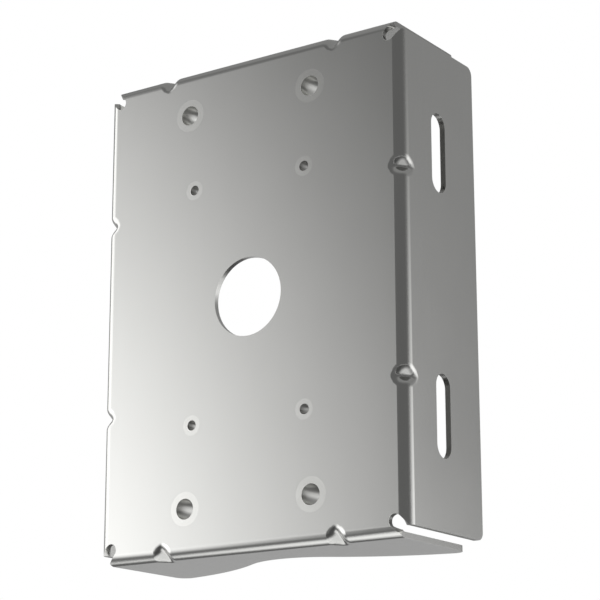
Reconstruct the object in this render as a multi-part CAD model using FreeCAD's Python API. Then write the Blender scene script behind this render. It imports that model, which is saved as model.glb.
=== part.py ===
import FreeCAD, Part
import math
import os
from FreeCAD import Placement, Rotation, Vector

# Camera pole mount: a rectangular plate of stainless sheet with a flange folded back on
# each of its four edges, and eight threaded nuts pressed into the plate.
# Millimetres. The plate faces -Y, +Z is up, the flanges run back along +Y, and the
# origin is under the middle of the part, on the plane that it stands on.

# Sheet
plate_width = 127.0
plate_height = 176.0
sheet = 2.0
bend_inner_radius = 1.8
neutral_share = 0.4

# Corner reliefs, punched in the blank as a round end that opens towards the corner. The
# setback and the mouth are measured in the blank, from the outer faces of the flanges.
relief_diameter = 4.5
relief_setback = 5.2
relief_mouth = 1.5

# Side flanges with their strap slots
side_depth = 47.0
side_corner_radius = 3.0
slot_width = 9.0
slot_length = 28.5
slot_back = 23.0
slot_rise = 45.75

# Top and bottom flanges, with the hollow that lies against the pole
end_depth = 43.5
end_corner_radius = 4.0
pole_arc_radius = 26.5
pole_arc_back = 20.5
shoulder_radius = 95.0

# Stiffening gussets pressed into the bends, two to each bend
gusset_plate_reach = 4.8
gusset_flange_reach = 6.6
gusset_half_angle = 50.0
gusset_valley_radius = 0.8
gusset_rim_radius = 3.2
gusset_spread = 35.7
gusset_margin = 1.0

# Cable hole in the middle of the plate
cable_hole_diameter = 28.0

# Threaded nuts: the shank fills its hole and is flush with the face of the plate, and
# the wider body sits on the back of the plate. The threads are left out, so each bore
# is plain, at the thread's pitch diameter, M8 in the large nuts and M4 in the small.
press_gap = 0.02
large_nut = {
    "spacing_x": 52.0,
    "from_end": 16.75,
    "shank": 12.0,
    "body": 15.0,
    "behind": 9.5,
    "bore": 7.19,
}
small_nut = {
    "spacing_x": 47.0,
    "from_end": 45.5,
    "shank": 7.1,
    "body": 9.0,
    "behind": 4.2,
    "bore": 3.55,
}

bend_radius = bend_inner_radius + sheet
neutral_radius = bend_inner_radius + neutral_share * sheet
gusset_reach = max(gusset_plate_reach, gusset_flange_reach)
gusset_slant = math.hypot(gusset_plate_reach, gusset_flange_reach)
flat_half_width = plate_width / 2 - bend_radius
flat_half_height = plate_height / 2 - bend_radius
overrun = 5.0


def ring_point(centre, radius, degrees):
    """Point at an angle on a circle in the YZ plane, measured from +Y towards +Z."""
    turn = math.radians(degrees)
    return centre + Vector(0, radius * math.cos(turn), radius * math.sin(turn))


def arc(centre, radius, start, end):
    """Edge of a circle in the YZ plane from one angle to another."""
    points = [ring_point(centre, radius, a) for a in (start, (start + end) / 2, end)]
    return Part.Arc(*points).toShape()


def arc_between(centre, start, end):
    """The shorter arc about a centre from one point to another."""
    radius = (start - centre).Length
    middle = (start + end) / 2 - centre
    return Part.Arc(start, centre + middle.normalize() * radius, end).toShape()


def outline_solid(edges, thickness):
    """Closed outline in the YZ plane, made a slab along +X."""
    return Part.Face(Part.Wire(edges)).extrude(Vector(thickness, 0, 0))


def mirrored(shape, axis):
    """A copy reflected through the middle of the part."""
    return shape.mirror(Vector(0, 0, 0), axis)


def side_flange():
    """Flat of a side flange in the YZ plane: rounded rear corners and two strap slots."""
    r = side_corner_radius
    top = flat_half_height
    low_front = Vector(0, bend_radius, -top)
    high_front = Vector(0, bend_radius, top)
    high_corner = Vector(0, side_depth - r, top - r)
    low_corner = Vector(0, side_depth - r, r - top)
    edges = [
        Part.makeLine(low_front, high_front),
        Part.makeLine(high_front, ring_point(high_corner, r, 90)),
        arc(high_corner, r, 90, 0),
        Part.makeLine(ring_point(high_corner, r, 0), ring_point(low_corner, r, 0)),
        arc(low_corner, r, 0, -90),
        Part.makeLine(ring_point(low_corner, r, -90), low_front),
    ]
    flange = outline_solid(edges, sheet)
    for height in (slot_rise, -slot_rise):
        flange = flange.cut(strap_slot(height))
    return flange


def strap_slot(height):
    """Cutter for one upright slot with round ends."""
    r = slot_width / 2
    reach = slot_length / 2 - r
    upper = Vector(-sheet, slot_back, height + reach)
    lower = Vector(-sheet, slot_back, height - reach)
    edges = [
        arc(upper, r, 0, 180),
        Part.makeLine(ring_point(upper, r, 180), ring_point(lower, r, 180)),
        arc(lower, r, 180, 360),
        Part.makeLine(ring_point(lower, r, 0), ring_point(upper, r, 0)),
    ]
    return outline_solid(edges, 3 * sheet)


def end_flange():
    """Flat of the top or bottom flange: a hollow for the pole between two full shoulders.

    The shoulder is an arc that passes through the flange's end at its full depth and runs
    tangent into the arc of the hollow, so its centre is where two circles cross.
    """
    half = flat_half_width
    hollow = Vector(0, pole_arc_back + pole_arc_radius, 0)
    end = Vector(0, end_depth, half)
    across = hollow - end
    gap = across.Length
    along = (gap**2 + shoulder_radius**2 - (shoulder_radius + pole_arc_radius) ** 2) / (2 * gap)
    rise = math.sqrt(shoulder_radius**2 - along**2)
    unit = across / gap
    normal = Vector(0, -unit.z, unit.y)
    choices = [end + unit * along + normal * rise, end + unit * along - normal * rise]
    shoulder = min(choices, key=lambda point: point.y)

    r = end_corner_radius
    inset = half - r - shoulder.z
    corner = Vector(0, shoulder.y + math.sqrt((shoulder_radius - r) ** 2 - inset**2), half - r)
    corner_end = shoulder + (corner - shoulder).normalize() * shoulder_radius
    crossing = hollow + (shoulder - hollow).normalize() * pole_arc_radius
    front = Vector(0, bend_radius, half)

    right = [
        Part.makeLine(front, ring_point(corner, r, 90)),
        arc_between(corner, ring_point(corner, r, 90), corner_end),
        arc_between(shoulder, corner_end, crossing),
    ]
    left = [mirrored(edge, Vector(0, 0, 1)) for edge in right]
    seat_bottom = Vector(0, pole_arc_back, 0)
    seat = Part.Arc(crossing, seat_bottom, Vector(0, crossing.y, -crossing.z)).toShape()
    front_edge = Part.makeLine(front, Vector(0, front.y, -front.z))
    loop = Part.sortEdges(right + left + [seat, front_edge])[0]
    return Part.Face(Part.Wire(loop)).extrude(Vector(sheet, 0, 0))


def relief_cutter(reach, half_length):
    """What a corner relief takes out of a bend.

    The relief is punched in the flat blank, so in the bend its wall follows the wrapped
    outline and stands square to the sheet. Lines from the bend's axis make it. The
    outline is the round end, then a straight side that touches it and ends at the mouth.
    """
    axis = Vector(reach, bend_radius, 0)
    centre_out = bend_radius - relief_setback
    centre_up = half_length + centre_out
    r = relief_diameter / 2
    mouth_out = bend_radius - relief_mouth
    mouth_run = mouth_out - centre_out
    first = math.acos(-centre_out / r)
    last = math.acos(r / math.hypot(mouth_run, centre_out)) - math.atan2(-centre_out, mouth_run)
    steps = 4
    outline = []
    for step in range(steps + 1):
        turn = first + (last - first) * step / steps
        outline.append((centre_out + r * math.cos(turn), centre_up - r * math.sin(turn)))
    touch_out, touch_up = outline[-1]
    for step in range(1, steps + 2):
        share = step / steps
        out = touch_out + share * (mouth_out - touch_out)
        outline.append((out, touch_up + share * (half_length - touch_up)))

    def wrapped(radius):
        points = []
        for out, height in outline:
            bent = out / neutral_radius
            points.append(axis + Vector(radius * math.sin(bent), -radius * math.cos(bent), height))
        curve = Part.BSplineCurve()
        curve.interpolate(points)
        return curve.toShape()

    wall = Part.makeRuledSurface(wrapped(bend_inner_radius / 2), wrapped(bend_radius + sheet))
    return wall.extrude(Vector(0, 0, relief_diameter))


def folded_edge(reach, half_length, flange):
    """One bend and its flange on the +X edge of a plate whose flat reaches that far."""
    foot = Vector(reach, 0, -half_length)
    head = Vector(reach, 0, half_length)
    through = Vector(0, sheet, 0)
    section = Part.Face(Part.makePolygon([foot, head, head + through, foot + through, foot]))
    bend = section.revolve(Vector(reach, bend_radius, 0), Vector(0, 0, 1), 90)
    cutter = relief_cutter(reach, half_length)
    bend = bend.cut(cutter).cut(mirrored(cutter, Vector(0, 0, 1)))
    flange.translate(Vector(reach + bend_inner_radius, 0, 0))
    return bend.fuse(flange)


def corner_section(leg, filled):
    """Section across a bend whose outer faces would meet at the origin."""
    tangent = Vector(-bend_radius, bend_radius, 0)
    outer = [Vector(-bend_radius, 0, 0), Vector(0, bend_radius, 0)]
    plate_end = Vector(-leg, 0, 0)
    flange_end = Vector(0, leg, 0)
    edges = [
        Part.makeLine(plate_end, outer[0]),
        arc_between(tangent, *outer),
        Part.makeLine(outer[1], flange_end),
    ]
    if filled:
        back = Vector(-leg, leg, 0)
        edges += [Part.makeLine(flange_end, back), Part.makeLine(back, plate_end)]
    else:
        inner = [Vector(-sheet, bend_radius, 0), Vector(-bend_radius, sheet, 0)]
        flange_inside = Vector(-sheet, leg, 0)
        plate_inside = Vector(-leg, sheet, 0)
        edges += [
            Part.makeLine(flange_end, flange_inside),
            Part.makeLine(flange_inside, inner[0]),
            arc_between(tangent, *inner),
            Part.makeLine(inner[1], plate_inside),
            Part.makeLine(plate_inside, plate_end),
        ]
    return Part.Face(Part.Wire(edges))


def valley_prism(depth, valley_radius, height):
    """Prism with a rounded V section whose valley slants across the bend.

    The valley lies that deep under the line where the outer faces would meet.
    """
    slope = math.radians(gusset_half_angle)
    outward = Vector(gusset_flange_reach, -gusset_plate_reach, 0) / gusset_slant
    along = Vector(gusset_plate_reach, gusset_flange_reach, 0) / gusset_slant
    start = along * (-height)
    centre = valley_radius / math.sin(slope) - depth
    tangent_up = valley_radius * math.cos(slope)
    tangent_out = centre - valley_radius * math.sin(slope)
    mouth = (height + depth) * math.tan(slope)

    def at(up, out):
        return start + Vector(0, 0, up) + outward * out

    edges = [
        Part.makeLine(at(mouth, height), at(tangent_up, tangent_out)),
        Part.Arc(
            at(tangent_up, tangent_out), at(0, centre - valley_radius), at(-tangent_up, tangent_out)
        ).toShape(),
        Part.makeLine(at(-tangent_up, tangent_out), at(-mouth, height)),
        Part.makeLine(at(-mouth, height), at(mouth, height)),
    ]
    return Part.Face(Part.Wire(edges)).extrude(along * (2 * height))


def touches(face, point):
    return face.distToShape(Part.Vertex(point))[0] < 1e-4


def edges_on(shape, tools, faces):
    """Edges of a shape that run along both a tool's surface and one of the given faces."""
    found = []
    for edge in shape.Edges:
        middle = edge.valueAt((edge.FirstParameter + edge.LastParameter) / 2)
        if any(touches(f, middle) for f in tools) and any(touches(f, middle) for f in faces):
            found.append(edge)
    return found


def pressed_corner(leg, length):
    """A short length of folded corner with one gusset pressed into it from outside.

    The groove and the rib behind it are the same V, one sheet thickness apart, and the
    rim of the groove is rounded.
    """
    depth = gusset_plate_reach * gusset_flange_reach / gusset_slant
    wall_depth = depth + sheet / math.sin(math.radians(gusset_half_angle))
    run = Vector(0, 0, length)
    down = Vector(0, 0, -length / 2)
    corner = corner_section(leg, filled=False).extrude(run)
    block = corner_section(leg, filled=True).extrude(run)
    corner.translate(down)
    block.translate(down)
    groove = valley_prism(depth, gusset_valley_radius, 2 * leg)
    rib = valley_prism(wall_depth, gusset_valley_radius + sheet, 2 * leg)
    skin = [face for face in corner.Faces if abs(face.CenterOfMass.z) < 1e-6]
    outside = [f for f in skin if any(touches(g, f.CenterOfMass) for g in block.Faces)]
    outside = [f for f in outside if abs(f.CenterOfMass.x) < leg - 1e-6]
    outside = [f for f in outside if abs(f.CenterOfMass.y) < leg - 1e-6]
    solid = corner.fuse(rib.common(block)).removeSplitter().cut(groove)
    return solid.makeFillet(gusset_rim_radius, edges_on(solid, groove.Faces, outside))


def press_gussets(shell, places):
    """Put a pressed length of corner in place of the plain one at each place."""
    leg = gusset_reach + gusset_rim_radius + gusset_margin
    length = 2 * (gusset_reach + gusset_rim_radius)
    pressed = pressed_corner(leg, length)
    gap = Part.makeBox(leg, leg, length, Vector(-leg, 0, -length / 2))
    for place in places:
        hole = gap.copy()
        hole.Placement = place
        shell = shell.cut(hole)
    pieces = []
    for place in places:
        piece = pressed.copy()
        piece.Placement = place
        pieces.append(piece)
    return shell.fuse(pieces).removeSplitter()


def gusset_places():
    """Placements of the corner pieces, two on each of the four bends."""
    places = []
    for turn, distance in ((0, plate_width), (90, plate_height), (180, plate_width), (270, plate_height)):
        spin = Rotation(Vector(0, 1, 0), turn)
        for offset in (gusset_spread, -gusset_spread):
            places.append(Placement(spin.multVec(Vector(distance / 2, 0, offset)), spin))
    return places


def bracket():
    """The folded sheet, with its middle at the origin."""
    plate = Part.makeBox(
        2 * flat_half_width,
        sheet,
        2 * flat_half_height,
        Vector(-flat_half_width, 0, -flat_half_height),
    )
    side = folded_edge(flat_half_width, flat_half_height, side_flange())
    end = folded_edge(flat_half_height, flat_half_width, end_flange())
    flanges = []
    for piece, turn in ((side, 0), (end, 90), (side, 180), (end, 270)):
        placed = piece.copy()
        placed.rotate(Vector(0, 0, 0), Vector(0, 1, 0), turn)
        flanges.append(placed)
    reliefs = []
    for x in (-1, 1):
        for z in (-1, 1):
            relief_x = x * (plate_width / 2 - relief_setback)
            relief_z = z * (plate_height / 2 - relief_setback)
            reliefs.append(hole(relief_x, relief_z, relief_diameter))
    shell = plate.cut(reliefs).fuse(flanges).removeSplitter()
    holes = [hole(0, 0, cable_hole_diameter)]
    for nut in (large_nut, small_nut):
        for x, z in nut_places(nut):
            holes.append(hole(x, z, nut["shank"] + 2 * press_gap))
    return press_gussets(shell, gusset_places()).cut(holes)


def hole(x, z, diameter):
    """Cutter for a round hole through the plate."""
    start = Vector(x, -overrun, z)
    return Part.makeCylinder(diameter / 2, 2 * overrun + sheet, start, Vector(0, 1, 0))


def nut_places(nut):
    """Centres of the four nuts of one size, from the middle of the plate."""
    across = nut["spacing_x"] / 2
    up = plate_height / 2 - nut["from_end"]
    return [(x * across, z * up) for x in (-1, 1) for z in (-1, 1)]


def pressed_nut(nut):
    """One turned nut about the Y axis, with its shank end on the plane of the face."""
    bore = nut["bore"] / 2
    shank = nut["shank"] / 2
    body = nut["body"] / 2
    back = sheet + nut["behind"]
    profile = [(bore, 0), (shank, 0), (shank, sheet), (body, sheet), (body, back), (bore, back)]
    points = [Vector(radius, y, 0) for radius, y in profile]
    face = Part.Face(Part.makePolygon(points + points[:1]))
    return face.revolve(Vector(0, 0, 0), Vector(0, 1, 0), 360)


def nut_group(nut):
    """All the nuts of one size, as separate solids."""
    solids = []
    for x, z in nut_places(nut):
        solid = pressed_nut(nut)
        solid.translate(Vector(x, 0, z))
        solids.append(solid)
    return Part.makeCompound(solids)


def write(shape, name):
    """Stand the piece on the ground plane and write it."""
    shape.translate(Vector(0, -side_depth / 2, plate_height / 2))
    shape.exportStep("parts/" + name + ".step")


os.makedirs("parts", exist_ok=True)
write(bracket(), "bracket")
write(nut_group(large_nut), "large_nuts")
write(nut_group(small_nut), "small_nuts")
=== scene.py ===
import math

import bpy
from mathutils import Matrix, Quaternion, Vector


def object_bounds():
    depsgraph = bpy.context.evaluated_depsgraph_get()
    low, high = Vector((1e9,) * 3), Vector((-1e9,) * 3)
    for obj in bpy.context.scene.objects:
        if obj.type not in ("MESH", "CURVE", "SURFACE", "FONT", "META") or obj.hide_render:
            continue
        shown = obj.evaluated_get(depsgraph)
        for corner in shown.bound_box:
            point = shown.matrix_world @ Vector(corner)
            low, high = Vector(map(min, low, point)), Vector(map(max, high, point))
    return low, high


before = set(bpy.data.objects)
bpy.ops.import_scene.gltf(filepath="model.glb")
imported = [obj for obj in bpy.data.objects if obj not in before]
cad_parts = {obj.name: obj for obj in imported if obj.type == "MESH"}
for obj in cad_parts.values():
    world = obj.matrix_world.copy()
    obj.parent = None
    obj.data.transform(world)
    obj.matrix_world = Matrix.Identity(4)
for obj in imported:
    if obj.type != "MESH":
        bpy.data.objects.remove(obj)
cad_low, cad_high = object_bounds()


# The bracket is one blank of 2 mm stainless sheet, cut out and folded into an
# open box. The skin keeps the mill's fine rolling lines. The cut walls are
# duller, and their darker colour is partly painted shade for the slots,
# reliefs and bend ends. Every sharp edge is tumbled, and its brighter colour
# is partly a painted highlight.
class Flow:
    """One socket of a material. Arithmetic on it adds the Math nodes."""

    def __init__(self, tree, socket=None):
        self.tree = tree
        self.socket = socket

    def node(self, kind, settings=None, inputs=None, output=0):
        made = self.tree.nodes.new(kind)
        for name, value in (settings or {}).items():
            setattr(made, name, value)
        for name, value in (inputs or {}).items():
            if isinstance(value, Flow):
                self.tree.links.new(value.socket, made.inputs[name])
            else:
                made.inputs[name].default_value = value
        return Flow(self.tree, made.outputs[output])

    def maths(self, operation, *values):
        return self.node("ShaderNodeMath", {"operation": operation}, dict(enumerate(values)))

    def __add__(self, other):
        return self.maths("ADD", self, other)

    __radd__ = __add__

    def __sub__(self, other):
        return self.maths("SUBTRACT", self, other)

    def __rsub__(self, other):
        return self.maths("SUBTRACT", other, self)

    def __mul__(self, other):
        return self.maths("MULTIPLY", self, other)

    __rmul__ = __mul__

    def __truediv__(self, other):
        return self.maths("DIVIDE", self, other)

    def __rtruediv__(self, other):
        return self.maths("DIVIDE", other, self)

    def __gt__(self, other):
        return self.maths("GREATER_THAN", self, other)

    def __lt__(self, other):
        return self.maths("LESS_THAN", self, other)

    def __abs__(self):
        return self.maths("ABSOLUTE", self)


def axes(vector):
    """The three numbers of a vector."""
    split = vector.node("ShaderNodeSeparateXYZ", inputs={0: vector}).socket.node
    return [Flow(vector.tree, socket) for socket in split.outputs]


def noise(place, scale, detail):
    """Soft random spots, that many to the metre."""
    inputs = {"Vector": place, "Scale": scale, "Detail": detail}
    return place.node("ShaderNodeTexNoise", inputs=inputs)


def mixed(share, first, second):
    """A colour between two, by a share from 0 to 1."""
    inputs = {0: share, 6: first, 7: second}
    return share.node("ShaderNodeMix", {"data_type": "RGBA"}, inputs, output=2)


def bumped(height, strength):
    """The normal of a surface with that relief, in metres."""
    inputs = {"Strength": strength, "Distance": 1.0, "Height": height}
    return height.node("ShaderNodeBump", inputs=inputs)


def new_metal(name):
    """A metal with its Principled shader, and the place on the piece."""
    metal = bpy.data.materials.new(name)
    metal.use_nodes = True
    shader = metal.node_tree.nodes["Principled BSDF"]
    shader.inputs["Metallic"].default_value = 1.0
    start = Flow(metal.node_tree)
    return metal, shader, start.node("ShaderNodeTexCoord", output=3)


def plug(flow, socket):
    flow.tree.links.new(flow.socket, socket)


sheet_light = (0.60, 0.60, 0.585, 1)
sheet_dark = (0.55, 0.55, 0.535, 1)
# The cut walls' greys are darker partly as painted shade.
cut_and_shade_pale = (0.40, 0.40, 0.39, 1)
cut_and_shade_dark = (0.30, 0.30, 0.29, 1)
# The edge colour is brighter partly from wear and partly as a painted highlight.
edge_wear_and_highlight_colour = (0.68, 0.68, 0.665, 1)
sheet_roughness, roughness_spread, cut_roughness = 0.17, 0.06, 0.30
lines_across, lines_along = 3200.0, 45.0
clouds_per_metre, tears_per_metre = 38.0, 1400.0
line_depth, tear_depth = 0.000001, 0.00001

rolled_sheet, shader, place = new_metal("rolled_stainless_sheet")
across, depth, height = axes(place)
normal = axes(place.node("ShaderNodeTexCoord", output=1))
faces_side, faces_end = abs(normal[0]), abs(normal[2])

# The rolling lines run up the plate and round the bends into the end flanges.
on_end_flange = faces_end > 0.7
up_plate = place.node(
    "ShaderNodeMapping",
    inputs={"Vector": place, "Scale": (lines_across, lines_across, lines_along)},
)
along_flange = place.node(
    "ShaderNodeCombineXYZ", inputs={0: across * lines_across, 1: depth * lines_along}
)
grain = place.node(
    "ShaderNodeMix",
    {"data_type": "VECTOR"},
    {0: on_end_flange, 4: up_plate, 5: along_flange},
    output=1,
)
lines = noise(grain, 1.0, 3.0)
clouds = noise(place, clouds_per_metre, 2.0)

# The cut walls are those of the flanges' edges and slots, the ends of the
# bends and the corner reliefs. They are rougher, and their darker grey is
# partly painted shade, standing in for the shade deep in the slots, reliefs and
# bend ends. They are told by their place, in metres from the middle of the
# plate, and by the way they face. The end flanges' are smoother and get less
# of the painted shade.
middle_height = 0.088
side_flange, end_flange = 0.0614, 0.0859
inside_sides, inside_ends = 0.0612, 0.0855
side_bend, end_bend = 0.0575, 0.0800
bend_back = -0.015
relief_across, relief_up, relief_radius = 0.0583, 0.0828, 0.00233
end_share = 0.4

from_middle = height - middle_height
wide, tall = abs(across), abs(from_middle)
side_wall = (depth > bend_back) * (wide > side_flange) * (faces_side < 0.5)
end_wall = end_share * (depth > bend_back) * (tall > end_flange) * (faces_end < 0.5)
side_tip = (faces_end > 0.8) * (wide > side_bend) * (tall < inside_ends)
end_tip = end_share * (faces_side > 0.8) * (tall > end_bend) * (wide < inside_sides)
off_across, off_up = wide - relief_across, tall - relief_up
relief_wall = off_across * off_across + off_up * off_up < relief_radius * relief_radius
# This mask gives the cut walls their duller metal and also their painted shade.
cut_and_shade = side_wall
for wall in (end_wall, side_tip, end_tip, relief_wall):
    cut_and_shade = cut_and_shade.maths("MAXIMUM", cut_and_shade, wall)
torn = noise(place, tears_per_metre, 3.0)

# The tumbled edges are found by how far an eased normal leaves the true one.
# Their brighter colour is partly wear and partly a painted highlight.
edge_band_width, edge_wear_and_highlight_share, wear_roughness = 0.0004, 0.7, 0.05
edge_band_starts, edge_band_full = 0.97, 0.80

true_normal = place.node("ShaderNodeNewGeometry", output=1)
eased_normal = place.node("ShaderNodeBevel", {"samples": 6}, {"Radius": edge_band_width})
agreement = place.node(
    "ShaderNodeVectorMath",
    {"operation": "DOT_PRODUCT"},
    {0: true_normal, 1: eased_normal},
    output=1,
)
edge_wear_and_highlight = place.node(
    "ShaderNodeMapRange",
    inputs={0: agreement, 1: edge_band_starts, 2: edge_band_full, 3: 0.0, 4: 1.0},
)

skin = mixed(0.65 * lines + 0.35 * clouds, sheet_dark, sheet_light)
# The cut walls get their darker grey here, which is partly painted shade.
skin_and_shaded_cuts = mixed(cut_and_shade, skin, mixed(torn, cut_and_shade_dark, cut_and_shade_pale))
# The edges get their brighter colour here, which is partly a painted highlight.
plug(mixed(edge_wear_and_highlight_share * edge_wear_and_highlight, skin_and_shaded_cuts, edge_wear_and_highlight_colour), shader.inputs["Base Color"])
streaks = 0.6 * clouds + 0.4 * lines
skin_rough = sheet_roughness - roughness_spread / 2 + roughness_spread * streaks
rough = skin_rough + cut_and_shade * (cut_roughness - skin_rough)
plug(rough + wear_roughness * edge_wear_and_highlight, shader.inputs["Roughness"])
relief = lines * (1 - cut_and_shade) * line_depth + torn * cut_and_shade * tear_depth
plug(bumped(relief, 1.0), shader.inputs["Normal"])
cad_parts["bracket"].material_slots[0].material = rolled_sheet


# The nuts are turned from stainless bar, knurled on the shank and pressed into
# the plate until their ends lie level with its face. The faces keep the
# lathe's rings, and the tapped bores are rougher. The small nuts' bores are
# coloured darker than their faces.
nut_light = (0.665, 0.665, 0.645, 1)
nut_dark = (0.615, 0.615, 0.595, 1)
nut_roughness, nut_spread, bore_roughness = 0.18, 0.04, 0.30
nut_clouds_per_metre = 260.0
ring_pitch, ring_depth, bore_edge = 0.00045, 0.0000015, 0.00012


def turned_nuts(node, across, rise, bore_radius, thread_pitch, thread_depth, bore_colour):
    """The metal of four nuts, that far across and up or down from the plate's middle."""
    metal, shader, place = new_metal("turned_" + node)
    x, depth, z = axes(place)
    side, up = abs(x) - across, abs(z - middle_height) - rise
    out = side.maths("SQRT", side * side + up * up)
    turn = up.maths("ARCTAN2", up, side) / math.tau
    bored = out.node(
        "ShaderNodeMapRange",
        inputs={0: out, 1: bore_radius, 2: bore_radius + bore_edge, 3: 1.0, 4: 0.0},
    )
    clouds = noise(place, nut_clouds_per_metre, 2.0)
    rings = out.maths("SINE", out * (math.tau / ring_pitch))
    thread = out.maths("PINGPONG", depth / thread_pitch + turn, 0.5)
    face = mixed(clouds, nut_dark, nut_light)
    plug(mixed(bored, face, bore_colour), shader.inputs["Base Color"])
    rough = nut_roughness - nut_spread / 2 + nut_spread * clouds
    plug(rough + bored * (bore_roughness - rough), shader.inputs["Roughness"])
    relief = (1 - bored) * rings * ring_depth + bored * thread * thread_depth
    plug(bumped(relief, 0.8), shader.inputs["Normal"])
    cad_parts[node].material_slots[0].material = metal


turned_nuts(
    "large_nuts",
    across=0.026,
    rise=0.07125,
    bore_radius=0.0036,
    thread_pitch=0.00125,
    thread_depth=0.000013,
    bore_colour=(0.62, 0.62, 0.60, 1),
)
turned_nuts(
    "small_nuts",
    across=0.0235,
    rise=0.0425,
    bore_radius=0.00178,
    thread_pitch=0.0007,
    thread_depth=0.00007,
    bore_colour=(0.46, 0.46, 0.445, 1),
)


# The camera stands low on the right, with a long lens, and looks up at the
# front of the mount.
aim = Vector((0.008123, -0.0035, 0.089779))
azimuth, elevation, roll = math.radians(34.652), math.radians(-15.280), math.radians(-0.075)
distance = 0.69993
back = Vector(
    (
        math.sin(azimuth) * math.cos(elevation),
        -math.cos(azimuth) * math.cos(elevation),
        math.sin(elevation),
    )
)
camera_data = bpy.data.cameras.new("camera")
camera_data.sensor_width = 36.0
camera_data.lens = 120.335
camera_data.clip_start = 0.01
camera = bpy.data.objects.new("camera", camera_data)
camera.location = aim + distance * back
camera.rotation_mode = "QUATERNION"
camera.rotation_quaternion = (-back).to_track_quat("-Z", "Y") @ Quaternion((0, 0, 1), roll)
bpy.context.scene.collection.objects.link(camera)
bpy.context.scene.camera = camera


# The studio is a white room with a pale floor well below the mount. Curved
# grey cards and soft boxes stand round it and draw the tones on the steel, as
# they do for any bright metal in a studio.
room_light, extra_when_seen = 0.9, 0.1
world = bpy.data.worlds.new("white_room")
world.use_nodes = True
backing = world.node_tree.nodes["Background"]
backing.inputs["Color"].default_value = (1, 1, 1, 1)
ray = Flow(world.node_tree).node("ShaderNodeLightPath")
rays = ray.socket.node.outputs
names = ("Is Camera Ray", "Is Glossy Ray", "Is Transmission Ray")
camera_ray, glossy_ray, clear_ray = (Flow(ray.tree, rays[name]) for name in names)
seen = ray.maths("MAXIMUM", camera_ray, ray.maths("MAXIMUM", glossy_ray, clear_ray))
plug(room_light + extra_when_seen * seen, backing.inputs["Strength"])
bpy.context.scene.world = world

floor_reach, floor_height = 14.0, -0.9
corners = ((-1, -1), (1, -1), (1, 1), (-1, 1))
floor_mesh = bpy.data.meshes.new("floor")
floor_mesh.from_pydata(
    [(x * floor_reach, y * floor_reach, floor_height) for x, y in corners], [], [(0, 1, 2, 3)]
)
floor = bpy.data.objects.new("floor", floor_mesh)
pale = bpy.data.materials.new("pale_floor")
pale.use_nodes = True
pale_shader = pale.node_tree.nodes["Principled BSDF"]
pale_shader.inputs["Base Color"].default_value = (0.7, 0.7, 0.7, 1)
pale_shader.inputs["Roughness"].default_value = 0.9
floor_mesh.materials.append(pale)
bpy.context.scene.collection.objects.link(floor)


def card_mesh(name, turns, lifts, radius):
    """A patch of a sphere round the mount, with its own UV map."""
    middle = (cad_low + cad_high) / 2
    steps = 24
    spots, shares, faces = [], [], []
    for row in range(steps + 1):
        for column in range(steps + 1):
            share = (column / steps, row / steps)
            turn = math.radians(turns[0] + share[0] * (turns[1] - turns[0]))
            lift = math.radians(lifts[0] + share[1] * (lifts[1] - lifts[0]))
            flat = math.cos(lift)
            out = Vector((math.sin(turn) * flat, -math.cos(turn) * flat, math.sin(lift)))
            spots.append(middle + radius * out)
            shares.append(share)
    for row in range(steps):
        for column in range(steps):
            first = row * (steps + 1) + column
            faces.append((first, first + 1, first + steps + 2, first + steps + 1))
    mesh = bpy.data.meshes.new(name)
    mesh.from_pydata(spots, [], faces)
    layer = mesh.uv_layers.new(name="card")
    for loop, spot in zip(layer.data, mesh.loops):
        loop.uv = shares[spot.vertex_index]
    return mesh


def card_light(name, level, width, height, fades):
    """A glow of one level that fades out towards the card's four sides."""
    light = bpy.data.materials.new(name)
    light.use_nodes = True
    tree = light.node_tree
    tree.nodes.clear()
    across, up = axes(Flow(tree).node("ShaderNodeTexCoord", output=2))[:2]
    sides = (across, 1 - across, up, 1 - up)
    mask = 1.0
    for side, span, fade in zip(sides, (width, width, height, height), fades):
        mask = mask * side.node(
            "ShaderNodeMapRange",
            {"interpolation_type": "SMOOTHSTEP"},
            {0: side, 1: 0.0, 2: fade / span},
        )
    clear = mask.node("ShaderNodeBsdfTransparent")
    glow = mask.node("ShaderNodeEmission", inputs={"Strength": level})
    output = tree.nodes.new("ShaderNodeOutputMaterial")
    faded = mask.node("ShaderNodeMixShader", inputs={0: mask, 1: clear, 2: glow})
    plug(faded, output.inputs["Surface"])
    return light


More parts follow.
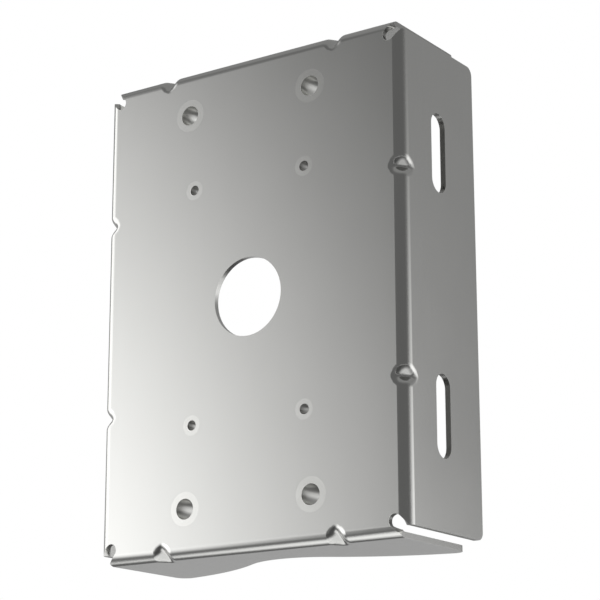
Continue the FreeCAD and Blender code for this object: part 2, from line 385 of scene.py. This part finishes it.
def card(name, turns, lifts, level, fades, radius):
    """A curved card round the mount. It reaches over the turns, from the front
    towards the right, and over the lifts above the horizon, in degrees. Its
    light, level, fades into the room over the fades, in degrees from its left,
    right, lower and upper side."""
    mesh = card_mesh(name, turns, lifts, radius)
    width, height = turns[1] - turns[0], lifts[1] - lifts[0]
    mesh.materials.append(card_light(name, level, width, height, fades))
    made = bpy.data.objects.new(name, mesh)
    made.visible_camera = False
    made.visible_diffuse = False
    made.visible_shadow = False
    bpy.context.scene.collection.objects.link(made)


card("grey_ceiling", (-180, 180), (0.7, 90), 0.331, (0.1, 0.1, 21.8, 0.1), radius=1.10)
card("front_flag", (-134.2, 128.4), (-14.3, 59.7), 0.173, (10.3, 56.9, 5.1, 24.6), radius=1.08)
card("left_backing", (-90, -24.1), (-20.5, 40), 0.816, (10, 4.3, 4.9, 51.2), radius=1.04)
card("left_softbox", (-92.3, -27.1), (-40.5, 42.9), 2.351, (31.1, 22.2, 31.4, 51.6), radius=0.98)
card("side_softbox", (-92, -45.3), (-14.1, 48.8), 1.75, (8, 16.4, 13.6, 22.4), radius=0.96)
card("back_left_card", (-180, -90), (-25.6, 34.8), 0.45, (5, 3, 7.2, 9.8), radius=1.03)
card("back_right_card", (91.7, 185), (-16, 44), 0.342, (30, 20, 25.1, 10), radius=1.08)
card("right_softbox", (88.6, 149.3), (-26.5, 27.7), 1.78, (40.1, 16.8, 10.5, 37.3), radius=0.98)
card("low_flag", (-87.5, 19.4), (-53.3, -2.5), 0.218, (9.7, 21, 4.2, 16.9), radius=1.02)
card("low_softbox", (-117.5, -48), (-71.4, -46.7), 1.499, (19, 18, 5.3, 20.2), radius=0.97)
card("low_back_flag", (-170, -101.1), (-57.6, -19.5), 0.158, (8, 7.4, 8.3, 7.6), radius=1.00)
card("under_flag", (-35.4, 114.8), (-60.2, -9), 0.095, (15, 7.9, 4, 12.1), radius=1.01)
card("under_softbox", (12.3, 133), (-87.5, -10.8), 1.135, (121, 17.7, 4, 61.3), radius=0.98)
card("right_low_softbox", (113.1, 155.9), (-67.4, -11.2), 1.011, (13.5, 8, 8.3, 15.2), radius=0.99)
card("floor_glow", (-180, 180), (-90, -42.1), 1.226, (0.1, 0.1, 0.1, 35.6), radius=0.99)
card("side_flag", (-179, -88), (4, 40), 0.29, (12, 3, 16, 10), radius=1.01)
card("back_low_flag", (140, 215), (-66, -20), 0.10, (30, 22, 6, 10), radius=1.00)


bpy.context.scene.view_settings.view_transform = "Standard"
